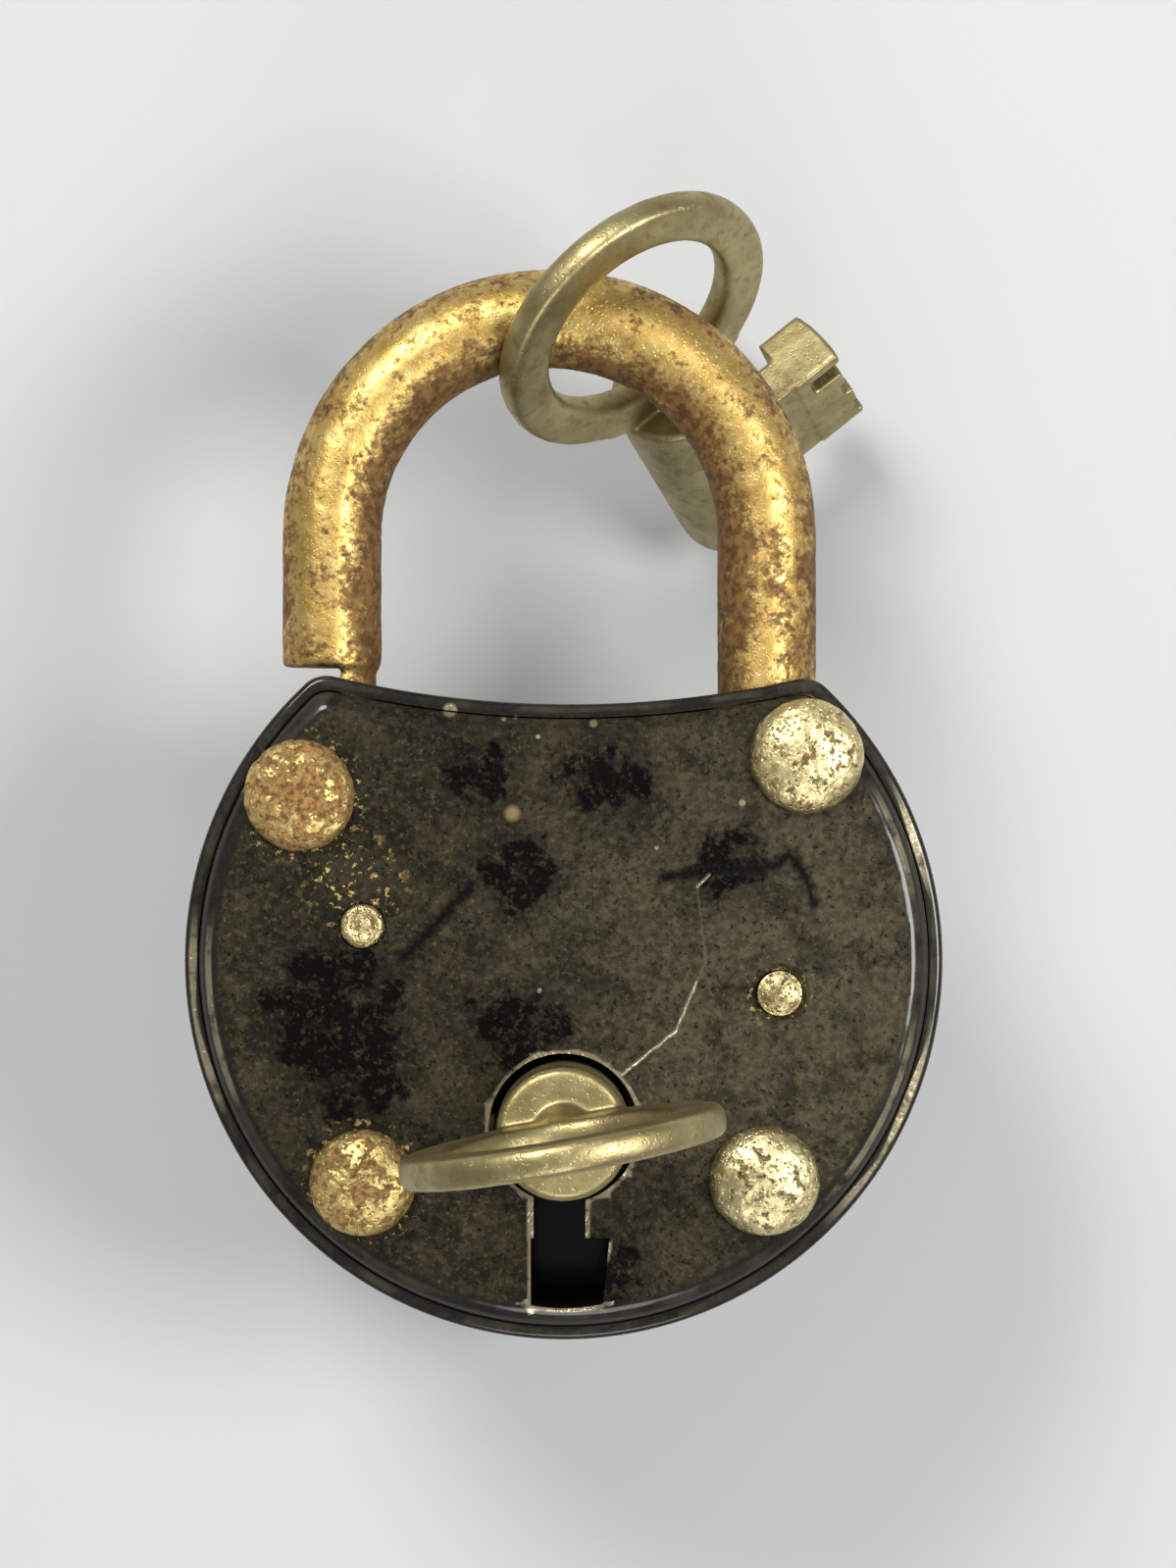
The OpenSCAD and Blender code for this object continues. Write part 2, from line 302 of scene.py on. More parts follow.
# Dents in the face, as place, reach and depth
DENTS = [
    ((-9.0, 2.0), 1.2, 0.05), ((4.5, 9.5), 3.5, 0.10), ((-6.5, -5.0), 4.0, 0.09),
    ((10.5, -6.5), 3.0, 0.07), ((16.3, 4.9), 0.9, 0.10), ((-2.0, 15.0), 2.2, 0.05),
    ((6.0, 2.0), 5.0, 0.06), ((-17.5, -5.5), 2.6, 0.06), ((18.5, -9.0), 2.5, 0.06),
]


def keyhole_edges(bm):
    """The sharp edge where the keyhole meets the face."""
    found = []
    for e in bm.edges:
        if len(e.link_faces) != 2 or any(abs(v.co.z - FACE_Z) > 0.01 for v in e.verts):
            continue
        mid = (e.verts[0].co + e.verts[1].co) / 2
        near_key = abs(mid.x) < 5.3 and -23.4 < mid.y < -5.9
        level = [abs(f.normal.z) for f in e.link_faces]
        if near_key and min(level) < 0.3 and max(level) > 0.9:
            found.append(e)
    return found


def edge_ridge(distance, reach):
    """1 on a line and 0 at reach from it."""
    return 1 - abs(distance) / reach


def past_saddle(p, radius):
    """How far a point is outside the circle of the hollow top."""
    return math.hypot(p.x - SADDLE_X, p.y - SADDLE_Y) - radius


def face_lift(x, y):
    """How much the pressed face is raised or dented at a place."""
    lift = 0.045 * ball_noise((x, y, 0), 0.16, 3.1) + 0.012 * ball_noise((x, y, 0), 0.9, 8.0)
    lift += sum(dent(x, y, *d) for d in DENTS)
    for rx, ry, rr in RIVETS.values():
        lift += dent(x, y, (rx, ry), rr * 1.25, 0.16)
    blister = math.hypot(x - BLISTER[0], y - BLISTER[1])
    return lift + 0.10 * math.exp(-(blister / 0.75) ** 4)


def make_front_shell(material):
    skirt_z = 0.1 - INNER_Z
    body = case_block(FRONT_R, FRONT_SADDLE_R, 1.9, skirt_z, FACE_Z, 1.5, 7)
    cavity = case_block(CAVITY_R, FRONT_SADDLE_R + 1.0, 1.0, skirt_z - 1, INNER_Z, 0.5, 3)
    recess = drum(*SPRING_PIN, PIN_HOLE_R, 2.05, FACE_Z - 0.42, FACE_Z + 0.02)
    holes = pin_holes(INNER_Z - 1, FACE_Z + 1)
    bm = cut_away(body, [cavity, *shackle_windows(), keyhole_cutter(), *holes, recess])
    bevel_edges(bm, keyhole_edges(bm), 0.22, 3)
    bm.normal_update()
    grid_front(bm, FACE_Z, 0.7)
    bend_z = 5.3
    for v in bm.verts:
        x, y, z = v.co
        if z > bend_z:
            v.co.z += (face_lift(x, y) - 0.05) * (z - bend_z) / (FACE_Z - bend_z)

    # Rim mask, read for bare wear, the black rim and the painted rim highlights.
    def rim_wear_and_highlight(p):
        round_edge = edge_ridge(math.hypot(p.x, p.y) - FRONT_R + 0.7, 1.0)
        saddle_edge = edge_ridge(past_saddle(p, FRONT_SADDLE_R) - 0.7, 0.9)
        return max(round_edge, 0.38 * saddle_edge) if p.z > 4 else 0

    def keyhole_wear(p):
        x, y = p.x - KEY_AT[0], p.y - KEY_AT[1]
        r = math.hypot(x, y)
        lines = [edge_ridge(r - KEYHOLE_R - 0.08, 0.4), 0]
        if -SLOT_END_R - 0.4 < y < -4.6:
            right_side = 1.5 if y > SLOT_FOOT_Y - 0.1 else 3.1
            lines += [edge_ridge(x + 2.1, 0.35), edge_ridge(x - right_side, 0.35)]
            if abs(x) < 3.4:
                lines.append(edge_ridge(r - SLOT_END_R - 0.1, 0.3))
        return max(lines) if p.z > 6.3 else 0

    wear_layer(bm, rim_wear_and_highlight)
    wear_layer(bm, keyhole_wear, "hole_edge")
    return finish_piece(bm, "front_cup", "case", ["front_shell"], material)


def make_back_shell(material):
    body = case_block(CASE_R, SADDLE_R, 2.1, -FACE_Z, LIP_Z, 0, 0)
    back_rim = [e for e in body.edges if all(abs(v.co.z + FACE_Z) < 1e-4 for v in e.verts)]
    bevel_edges(body, back_rim, 1.4, 6)
    lip = [e for e in body.edges if all(abs(v.co.z - LIP_Z) < 1e-4 for v in e.verts)]
    bevel_edges(body, lip, 0.42, 4)
    cavity = case_block(FRONT_R + 0.1, FRONT_SADDLE_R - 0.1, 1.9, -INNER_Z, FACE_Z + 1)
    holes = pin_holes(-FACE_Z - 1, -INNER_Z + 1)
    bm = cut_away(body, [cavity, *shackle_windows(), *holes])
    bm.normal_update()
    grid_front(bm, -FACE_Z, 0.9, -1)
    bend_z = -5.5
    for v in bm.verts:
        x, y, z = v.co
        if z < bend_z:
            share = (bend_z - z) / (FACE_Z + bend_z)
            lift = 0.05 * ball_noise((x, y, 3), 0.15, 5.3) + 0.012 * ball_noise((x, y, 3), 0.9, 2.0)
            lift += dent(x, y, (7, 4), 3.0, 0.12) + dent(x, y, (-5, -9), 4.0, 0.10)
            v.co.z -= (lift - 0.05) * share
        elif z > LIP_Z - 1.5 and math.hypot(x, y) > 24.4:
            v.co.z += 0.05 * ball_noise((x, y, 0), 0.3, 6.6, 2) - 0.03

    # Rim mask, read for bare wear, the black rim and the painted rim highlights.
    def rim_wear_and_highlight(p):
        round_edge = edge_ridge(math.hypot(p.x, p.y) - CASE_R + 0.5, 1.0)
        saddle_edge = edge_ridge(past_saddle(p, SADDLE_R) - 0.4, 0.9)
        return max(round_edge, saddle_edge) if p.z > LIP_Z - 0.6 or p.z < -5.6 else 0.15

    wear_layer(bm, rim_wear_and_highlight)
    return finish_piece(bm, "back_cup", "case", ["back_shell"], material)


# ---- Rivets and pins ----

def turned(profile, steps):
    """A piece turned about z from its half profile, given as radius and height."""
    bm = bmesh.new()
    verts = [bm.verts.new((r, 0, z)) for r, z in profile]
    edges = [bm.edges.new(pair) for pair in zip(verts, verts[1:])]
    bmesh.ops.spin(
        bm, geom=verts + edges, cent=(0, 0, 0), axis=(0, 0, 1), angle=math.tau,
        steps=steps, use_merge=True,
    )
    bmesh.ops.remove_doubles(bm, verts=bm.verts, dist=0.001)
    bmesh.ops.recalc_face_normals(bm, faces=bm.faces)
    return bm


# Half profiles of the two pin ends above the face, as radius and height
PIN_ENDS = {
    "lever_pin": [
        (0, 7.38), (0.35, 7.36), (0.6, 7.30), (0.78, 7.42), (1.0, 7.52), (1.22, 7.50), (1.40, 7.38),
    ],
    "spring_pin": [
        (0, 7.55), (0.35, 7.54), (0.6, 7.52), (0.8, 7.49), (1.0, 7.44), (1.22, 7.36), (1.40, 7.22),
    ],
}
PIN_STEM = [(1.48, 7.2), (1.48, -6.9), (1.3, -7.0), (0, -7.0)]


def make_rivet(name, material, seed, crust):
    """Hammered dome with a flat rim, its shank, and the smaller head at the back."""
    x0, y0, r = RIVETS[name]
    profile = [(0, FACE_Z + RIVET_HEIGHT)]
    steps = 26
    for n in range(1, steps + 1):
        a = math.radians(90) * n / steps
        rise = max(0.0, math.cos(a)) ** 0.86
        profile.append((r * math.sin(a) ** 0.94, FACE_Z + RIVET_HEIGHT * rise))
    profile += [
        (r - 0.1, FACE_Z - 0.12), (RIVET_SHANK_R, FACE_Z - 0.15), (RIVET_SHANK_R, -FACE_Z + 0.1),
        (TAIL_R - 0.1, -FACE_Z + 0.08), (TAIL_R, -FACE_Z),
    ]
    for n in range(1, 9):
        a = math.radians(90) * n / 8
        profile.append((TAIL_R * math.cos(a), -FACE_Z - TAIL_HEIGHT * math.sin(a)))
    bm = turned(profile, 96)
    bmesh.ops.translate(bm, verts=bm.verts, vec=(x0, y0, 0))
    bm.normal_update()
    for v in bm.verts:
        if v.co.z < FACE_Z - 0.05 and v.co.z > -FACE_Z + 0.05:
            continue
        p = v.co.copy()
        bump = 0.07 * ball_noise(p, 0.45, seed, 2) - crust * max(0, ball_noise(p, 1.5, seed + 4, 3))
        bump -= 0.05 * crust * abs(ball_noise(p, 4.0, seed + 9, 2))
        v.co += v.normal * (bump - 0.04)
    return finish_piece(bm, name + "_head", "case", [name], material, 60)


def make_pin(name, at, material, seed):
    """Turned pin end, standing a little proud of the face, and its stem."""
    bm = turned(PIN_ENDS[name] + PIN_STEM, 64)
    for v in bm.verts:
        if v.co.z > FACE_Z + 0.2:
            v.co.z += 0.03 * ball_noise(v.co, 1.8, seed, 2)
    bmesh.ops.translate(bm, verts=bm.verts, vec=(*at, 0))
    return finish_piece(bm, name + "_end", "case", [name], material, 50)


# ---- Shackle and keys, from their frame solids ----

def solid_copy(node, place):
    """The frame solid's surface as one closed skin, moved by place."""
    bm = bmesh.new()
    bm.from_mesh(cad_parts[node].data)
    bmesh.ops.remove_doubles(bm, verts=bm.verts, dist=1e-7)
    bm.transform(place @ TO_PLANE)
    return bm


def reskin(bm, voxel, passes):
    """Even, slightly softened skin over a solid, fine enough to take pits."""
    thing = mesh_object(bm, "skin")
    skin = thing.modifiers.new("skin", "REMESH")
    skin.mode = "VOXEL"
    skin.voxel_size = voxel
    bm = with_modifiers(thing)
    for _ in range(passes):
        bmesh.ops.smooth_vert(
            bm, verts=bm.verts, factor=0.5, use_axis_x=True, use_axis_y=True, use_axis_z=True)
    bmesh.ops.recalc_face_normals(bm, faces=bm.faces)
    bm.normal_update()
    return bm


def make_shackle(material):
    """Rod with its rust along the inside of the bend and in bands on the legs, and brown painted along
    its outer side as shade.
    """
    bm = reskin(solid_copy("shackle", Matrix()), 0.21, 5)
    crown = Vector((CROWN_X, CROWN_Y, 0))
    layer = bm.verts.layers.float.new("wear")
    for v in bm.verts:
        p = v.co.copy()
        from_middle = (p - crown).xy.length if p.y > CROWN_Y else abs(p.x - CROWN_X)
        inward = LEG_REACH - from_middle
        # The last term is painted shade: it browns the rod's outer side against its bright grazing
        # reflection.
        rust = 0.37 + 0.29 * max(0, inward - 0.7) + 0.20 * max(0, -inward - 1.7)
        if p.x > 0:
            rust += 0.30 * max(0.0, edge_ridge(p.y - 25.5, 6.5))
        else:
            rust += 0.12 * max(0.0, edge_ridge(p.y - 25, 5))
        v[layer] = min(1, max(0, rust))
        pit = max(0.0, ball_noise(p, 1.1, 2.2, 4)) * 0.05 + 0.02 * ball_noise(p, 0.35, 7.7, 2)
        fine = 0.008 * ball_noise(p, 4.0, 1.3, 2)
        if p.y >= SHOULDER_Y - 0.3:
            v.co += v.normal * (0.02 - pit * (0.5 + v[layer]) + fine)
    return finish_piece(bm, "shackle_rod", "shackle", ["shackle"], material, 70)


def make_key(name, node, body, material, place, seed):
    """Barrel key with a ring bow, worn soft, with a little casting roughness."""
    away = Matrix.Translation((-KEY_AT[0], -KEY_AT[1], 0))
    home = Matrix.Rotation(math.radians(KEY_TURNED), 4, "Z") @ away
    bm = reskin(solid_copy("key", home), 0.15, 3)
    ring = [v for v in bm.verts if v.co.z > BOW_Z - BOW_R + 0.2]
    for _ in range(40):
        bmesh.ops.smooth_vert(
            bm, verts=ring, factor=0.5, use_axis_x=True, use_axis_y=True, use_axis_z=True)
    bm.normal_update()
    layer = bm.verts.layers.float.new("wear")
    for v in bm.verts:
        p = v.co.copy()
        v[layer] = 0.5 + 0.5 * ball_noise(p, 0.5, seed, 2)
        v.co += v.normal * (0.015 * ball_noise(p, 0.9, seed, 3) - 0.012)
    bm.transform(place)
    return finish_piece(bm, name, body, [node], material, 70)


# ---- Shader groups ----

def start_group(name, inputs, outputs):
    tree = bpy.data.node_groups.new(name, "ShaderNodeTree")
    for label, kind, value in inputs:
        socket = tree.interface.new_socket(label, in_out="INPUT", socket_type=kind)
        if value is not None:
            socket.default_value = value
    for label, kind in outputs:
        tree.interface.new_socket(label, in_out="OUTPUT", socket_type=kind)
    return tree, tree.nodes.new("NodeGroupInput").outputs, tree.nodes.new("NodeGroupOutput").inputs


def put(tree, kind, values=None, **settings):
    """Adds a node, sets its options, and fills its inputs with values or other nodes' sockets."""
    node = tree.nodes.new(kind)
    for key, value in settings.items():
        setattr(node, key, value)
    for key, value in (values or {}).items():
        if isinstance(value, bpy.types.NodeSocket):
            tree.links.new(value, node.inputs[key])
        else:
            node.inputs[key].default_value = value
    return node


def calc(tree, operation, a, b, clamp=False):
    return put(tree, "ShaderNodeMath", {0: a, 1: b}, operation=operation, use_clamp=clamp).outputs[0]


def plus(tree, a, b):
    return calc(tree, "ADD", a, b)


def minus(tree, a, b):
    return calc(tree, "SUBTRACT", a, b)


def times(tree, a, b):
    return calc(tree, "MULTIPLY", a, b)


def ramp(tree, value, start, end):
    """0 below start, 1 above end, with soft ends."""
    node = put(tree, "ShaderNodeMapRange", {"Value": value, "From Min": start, "From Max": end},
               interpolation_type="SMOOTHSTEP")
    return node.outputs["Result"]


def blend_colour(tree, factor, under, over):
    node = put(tree, "ShaderNodeMix", {0: factor, 6: under, 7: over}, data_type="RGBA")
    return node.outputs[2]


def tint(tree, mask, strength, under, over):
    """Lays a colour over another where the mask is, at part strength."""
    return blend_colour(tree, times(tree, mask, strength), under, over)


FLOAT = "NodeSocketFloat"
VECTOR = "NodeSocketVector"


def patches_group():
    """Ragged patches of rust, wear or bare metal."""
    tree, given, out = start_group(
        "Ragged patches",
        [("Place", VECTOR, None), ("Scale", FLOAT, 0.5), ("Threshold", FLOAT, 0.5),
         ("Softness", FLOAT, 0.05), ("Detail", FLOAT, 6.0)],
        [("Mask", FLOAT)],
    )
    cloud = put(tree, "ShaderNodeTexNoise", {
        "Vector": given["Place"], "Scale": given["Scale"], "Detail": given["Detail"], "Roughness": 0.62})
    low_side = minus(tree, given["Threshold"], given["Softness"])
    high_side = plus(tree, given["Threshold"], given["Softness"])
    mask = ramp(tree, cloud.outputs["Fac"], low_side, high_side)
    tree.links.new(mask, out["Mask"])
    return tree


def stroke_group():
    """A scratch between two points of the face, with a broken, uneven edge."""
    tree, given, out = start_group(
        "Scratch stroke",
        [("Place", VECTOR, None), ("From", VECTOR, (0, 0, 0)), ("To", VECTOR, (1, 0, 0)),
         ("Width", FLOAT, 0.1), ("Raggedness", FLOAT, 0.1)],
        [("Mask", FLOAT)],
    )
    shake = put(tree, "ShaderNodeTexNoise", {"Vector": given["Place"], "Scale": 1.9, "Detail": 3.0})
    moved = put(tree, "ShaderNodeVectorMath", {0: shake.outputs["Color"], 1: (0.5, 0.5, 0.5)},
                operation="SUBTRACT")
    shaken = put(tree, "ShaderNodeVectorMath",
                 {0: moved.outputs[0], "Scale": given["Raggedness"]}, operation="SCALE")
    spot = put(tree, "ShaderNodeVectorMath", {0: given["Place"], 1: shaken.outputs[0]}, operation="ADD")
    flat = put(tree, "ShaderNodeVectorMath", {0: spot.outputs[0], 1: (1, 1, 0)}, operation="MULTIPLY")
    along = put(tree, "ShaderNodeVectorMath", {0: given["To"], 1: given["From"]}, operation="SUBTRACT")
    reach = put(tree, "ShaderNodeVectorMath", {0: flat.outputs[0], 1: given["From"]},
                operation="SUBTRACT")
    top = put(tree, "ShaderNodeVectorMath", {0: reach.outputs[0], 1: along.outputs[0]},
              operation="DOT_PRODUCT")
    bottom = put(tree, "ShaderNodeVectorMath", {0: along.outputs[0], 1: along.outputs[0]},
                 operation="DOT_PRODUCT")
    share = calc(tree, "DIVIDE", top.outputs["Value"], bottom.outputs["Value"], clamp=True)
    nearest = put(tree, "ShaderNodeVectorMath", {0: along.outputs[0], "Scale": share}, operation="SCALE")
    gap = put(tree, "ShaderNodeVectorMath", {0: reach.outputs[0], 1: nearest.outputs[0]},
              operation="DISTANCE")
    mask = minus(tree, 1.0, ramp(tree, gap.outputs["Value"], 0.0, given["Width"]))
    tree.links.new(mask, out["Mask"])
    return tree


def spot_group():
    """A soft round area of the face, for marks that gather in one place."""
    tree, given, out = start_group(
        "Round area",
        [("Place", VECTOR, None), ("Centre", VECTOR, (0, 0, 0)), ("Inner", FLOAT, 1.0),
         ("Outer", FLOAT, 2.0)],
        [("Mask", FLOAT)],
    )
    flat = put(tree, "ShaderNodeVectorMath", {0: given["Place"], 1: (1, 1, 0)}, operation="MULTIPLY")
    gap = put(tree, "ShaderNodeVectorMath", {0: flat.outputs[0], 1: given["Centre"]},
              operation="DISTANCE")
    mask = minus(tree, 1.0, ramp(tree, gap.outputs["Value"], given["Inner"], given["Outer"]))
    tree.links.new(mask, out["Mask"])
    return tree


def pits_group():
    """Small rust pits and grains, as a height."""
    tree, given, out = start_group(
        "Rust pits",
        [("Place", VECTOR, None), ("Scale", FLOAT, 2.0), ("Amount", FLOAT, 1.0)],
        [("Height", FLOAT), ("Mask", FLOAT)],
    )
    cells = put(tree, "ShaderNodeTexVoronoi", {"Vector": given["Place"], "Scale": given["Scale"]})
    grain = put(tree, "ShaderNodeTexNoise", {
        "Vector": given["Place"], "Scale": times(tree, given["Scale"], 0.6), "Detail": 5.0,
        "Roughness": 0.65})
    pit = ramp(tree, cells.outputs["Distance"], 0.05, 0.45)
    where = ramp(tree, grain.outputs["Fac"], 0.42, 0.62)
    hole = times(tree, minus(tree, 1.0, pit), where)
    height = minus(tree, times(tree, grain.outputs["Fac"], 0.7), hole)
    tree.links.new(times(tree, height, given["Amount"]), out["Height"])
    tree.links.new(hole, out["Mask"])
    return tree


PATCHES, STROKE, AREA, PITS = patches_group(), stroke_group(), spot_group(), pits_group()


def new_material(name, metallic=0.0):
    """A material with its place on the lock in millimetres, ready for the groups."""
    material = bpy.data.materials.new(name)
    material.use_nodes = True
    tree = material.node_tree
    shader = tree.nodes["Principled BSDF"]
    shader.inputs["Metallic"].default_value = metallic
    here = put(tree, "ShaderNodeTexCoord")
    place = put(tree, "ShaderNodeMapping", {
        "Vector": here.outputs["Object"], "Location": (CROWN_X, HANG_Y, 0),
        "Rotation": (-math.pi / 2, 0, 0), "Scale": (1000, 1000, 1000)})
    return material, tree, shader, place.outputs["Vector"]


def shifted(tree, place, offset, stretch=(1, 1, 1)):
    node = put(tree, "ShaderNodeMapping", {"Vector": place, "Location": offset, "Scale": stretch})
    return node.outputs["Vector"]


def group_mask(tree, group, values, output="Mask"):
    node = tree.nodes.new("ShaderNodeGroup")
    node.node_tree = group
    for key, value in values.items():
        if isinstance(value, bpy.types.NodeSocket):
            tree.links.new(value, node.inputs[key])
        else:
            node.inputs[key].default_value = value
    return node.outputs[output]


def patches(tree, place, scale, threshold, softness=0.05, offset=(0, 0, 0), detail=6.0):
    return group_mask(tree, PATCHES, {
        "Place": shifted(tree, place, offset), "Scale": scale, "Threshold": threshold,
        "Softness": softness, "Detail": detail})


def area(tree, place, x, y, inner, outer):
    return group_mask(tree, AREA, {
        "Place": place, "Centre": (x, y, 0), "Inner": inner, "Outer": outer})


def stroke(tree, place, points, width, ragged=0.25):
    """One mask for a line through several points."""
    masks = []
    for start, end in zip(points, points[1:]):
        masks.append(group_mask(tree, STROKE, {
            "Place": place, "From": (*start, 0), "To": (*end, 0), "Width": width,
            "Raggedness": ragged}))
    return any_of(tree, masks)


def any_of(tree, masks):
    total = masks[0]
    for mask in masks[1:]:
        total = calc(tree, "MAXIMUM", total, mask)
    return total


def pit_height(tree, place, scale, amount):
    return group_mask(tree, PITS, {"Place": place, "Scale": scale, "Amount": amount}, "Height")


def areas(tree, place, spots):
    """One mask for several round areas."""
    return any_of(tree, [area(tree, place, *spot) for spot in spots])


def bump(tree, shader, height, distance):
    node = put(tree, "ShaderNodeBump", {"Height": height, "Distance": distance, "Strength": 1.0})
    tree.links.new(node.outputs["Normal"], shader.inputs["Normal"])


def stored(tree, name="wear"):
    return put(tree, "ShaderNodeAttribute", attribute_name=name).outputs["Fac"]


# ---- Materials ----

# Places on the case's face, as x, y, the radius of the full middle and the radius where it fades out
BLACK_PATCHES = [
    (-15.0, -3.6, 3.4, 6.6), (-13.4, -8.6, 1.6, 4.2), (-3.0, 6.0, 1.2, 4.4), (-3.0, -4.6, 1.5, 5.5),
    (11.0, 6.4, 0.8, 4.6), (2.5, -21.0, 1.5, 5.0), (-5.6, 12.5, 1.0, 4.0), (3.0, 12.0, 1.0, 5.5),
]
RUSTY_PLACES = [
    (-13.8, 5.3, 1.4, 4.2), (-17.6, 11.1, 3.6, 4.8), (-13.4, -14.7, 3.4, 4.6), (14.4, -2.1, 1.4, 2.8),
]
CHIPS = [
    (-7.6, 16.8, 0.15, 0.60), (2.0, 15.9, 0.05, 0.35), (11.9, 10.6, 0.05, 0.3),
    (-1.6, -1.9, 0.03, 0.22), (6.2, 7.6, 0.03, 0.2), (-4.0, 16.2, 0.03, 0.22),
    (-3.2, 16.3, 0.03, 0.18), (-1.7, 15.0, 0.03, 0.2),
]
# Painted highlights: rim spots where a bright line is painted along the edge.
RIM_HIGHLIGHT_SPOTS = [(-24.0, -3.5, 3.5, 7.5), (21.5, -11.0, 3.0, 9.0), (22.5, 8.0, 1.0, 5.0)]
# Painted sheen: a round area on the right of the face that is painted lighter.
SHEEN_SIDE = (15.0, -1.0, 2.0, 27.0)

# Lines on the case's face, as the points that they run through
SCRATCH = [(3.9, -7.5), (7.5, -4.6), (8.9, -1.3)]
SCRATCH_FAINT_END = [(8.9, -1.3), (9.5, 0.0), (9.1, 3.3), (8.9, 4.9)]
SCRATCH_TIP = [(8.9, 5.0), (9.7, 5.8)]
LEFT_CRACK = [(-10.6, 0.3), (-8.6, 2.4), (-6.2, 4.9)]
RIGHT_CRACK = [(6.5, 5.6), (10.5, 6.2), (13.9, 6.2), (15.0, 7.2), (16.0, 5.9), (16.7, 3.9)]


def enamel_ground(tree, place):
    """Brown-black enamel with grey mottles, lighter to one side as painted sheen where the mottles also
    thicken, darker clouds, and pale and dark specks.
    """
    brown = patches(tree, place, 0.22, 0.50, 0.12)
    colour = blend_colour(tree, brown, (0.0085, 0.0075, 0.0045, 1), (0.025, 0.0205, 0.0115, 1))
    # Painted sheen: lightens the right side of the face and thickens its grey mottles there.
    sheen_side = area(tree, place, *SHEEN_SIDE)
    colour = tint(tree, sheen_side, 0.55, colour, (0.058, 0.050, 0.032, 1))
    grey = patches(tree, place, 1.7, 0.51, 0.10, (4, 9, 2))
    grey = times(tree, grey, plus(tree, 0.20, times(tree, sheen_side, 0.40)))
    colour = blend_colour(tree, grey, colour, (0.085, 0.072, 0.044, 1))
    cloud = patches(tree, place, 0.42, 0.55, 0.08, (3, 5, 8))
    colour = tint(tree, cloud, 0.60, colour, (0.0045, 0.004, 0.0025, 1))
    pale_speck = patches(tree, place, 3.2, 0.61, 0.03, (11, 3, 5))
    colour = tint(tree, pale_speck, 0.55, colour, (0.085, 0.066, 0.033, 1))
    dark_speck = patches(tree, place, 2.6, 0.60, 0.03, (1, 13, 7))
    return tint(tree, dark_speck, 0.8, colour, (0.003, 0.0028, 0.002, 1))


def black_leftovers(tree, place, front, colour):
    """Ragged patches of the first, black enamel, with a soft shade around them."""
    zone = areas(tree, place, BLACK_PATCHES)
    colour = tint(tree, times(tree, zone, front), 0.55, colour, (0.0065, 0.0055, 0.0035, 1))
    limit = minus(tree, 0.71, times(tree, zone, 0.29))
    gloss = times(tree, patches(tree, place, 0.5, limit, 0.06, (7, 1, 3)), front)
    return blend_colour(tree, gloss, colour, (0.0012, 0.0010, 0.0008, 1)), gloss


def rust_freckles(tree, place, front, colour):
    """Golden-brown freckles, thick in a few places and thin elsewhere."""
    gathered = times(tree, areas(tree, place, RUSTY_PLACES), times(tree, front, 0.95))
    freckle = patches(tree, place, 1.9, 0.585, 0.02, (2, 2, 9))
    freckle = times(tree, freckle, plus(tree, gathered, 0.05))
    shade = patches(tree, place, 4.0, 0.5, 0.1)
    rust = blend_colour(tree, shade, (0.22, 0.135, 0.045, 1), (0.50, 0.37, 0.15, 1))
    return blend_colour(tree, freckle, colour, rust), freckle


def face_scratch(tree, place, front):
    """The long scratch up from the keyhole, bright at its start and at its tip."""
    start = stroke(tree, place, SCRATCH, 0.17)
    faint = times(tree, stroke(tree, place, SCRATCH_FAINT_END, 0.15), 0.09)
    tip = stroke(tree, place, SCRATCH_TIP, 0.16, 0.1)
    return times(tree, any_of(tree, [start, faint, tip]), front)


def bare_edges_and_rim_highlights(tree, place, front, wear):
    """Bare metal along the keyhole and, thinly, along the rim, and painted highlights along the rim in a
    few spots.
    """
    hole = ramp(tree, stored(tree, "hole_edge"), 0.35, 0.75)
    hole = times(tree, hole, patches(tree, place, 0.9, 0.40, 0.10, (1, 2, 3)))
    thin = times(tree, ramp(tree, wear, 0.55, 0.95), patches(tree, place, 0.30, 0.50, 0.12, (5, 5, 1)))
    # Painted highlight: bright metal painted along the rim in the highlight spots.
    rim_highlight = times(tree, ramp(tree, wear, 0.70, 0.98), times(tree, areas(tree, place, RIM_HIGHLIGHT_SPOTS), front))
    rim_highlight = times(tree, rim_highlight, patches(tree, place, 0.5, 0.42, 0.12, (6, 1, 8)))
    return any_of(tree, [hole, times(tree, thin, 0.08), rim_highlight])


def enamel_height(tree, place, gloss, freckle, cut):
    """Fine pits and a broad unevenness, raised by enamel and rust, and cut by the lines."""
    height = pit_height(tree, place, 2.3, 0.5)
    wide = put(tree, "ShaderNodeTexNoise", {"Vector": place, "Scale": 0.7, "Detail": 4.0})
    height = plus(tree, height, times(tree, wide.outputs["Fac"], 0.9))
    height = plus(tree, height, times(tree, gloss, 0.25))
    height = plus(tree, height, times(tree, freckle, 0.5))
    return minus(tree, height, times(tree, cut, 0.8))


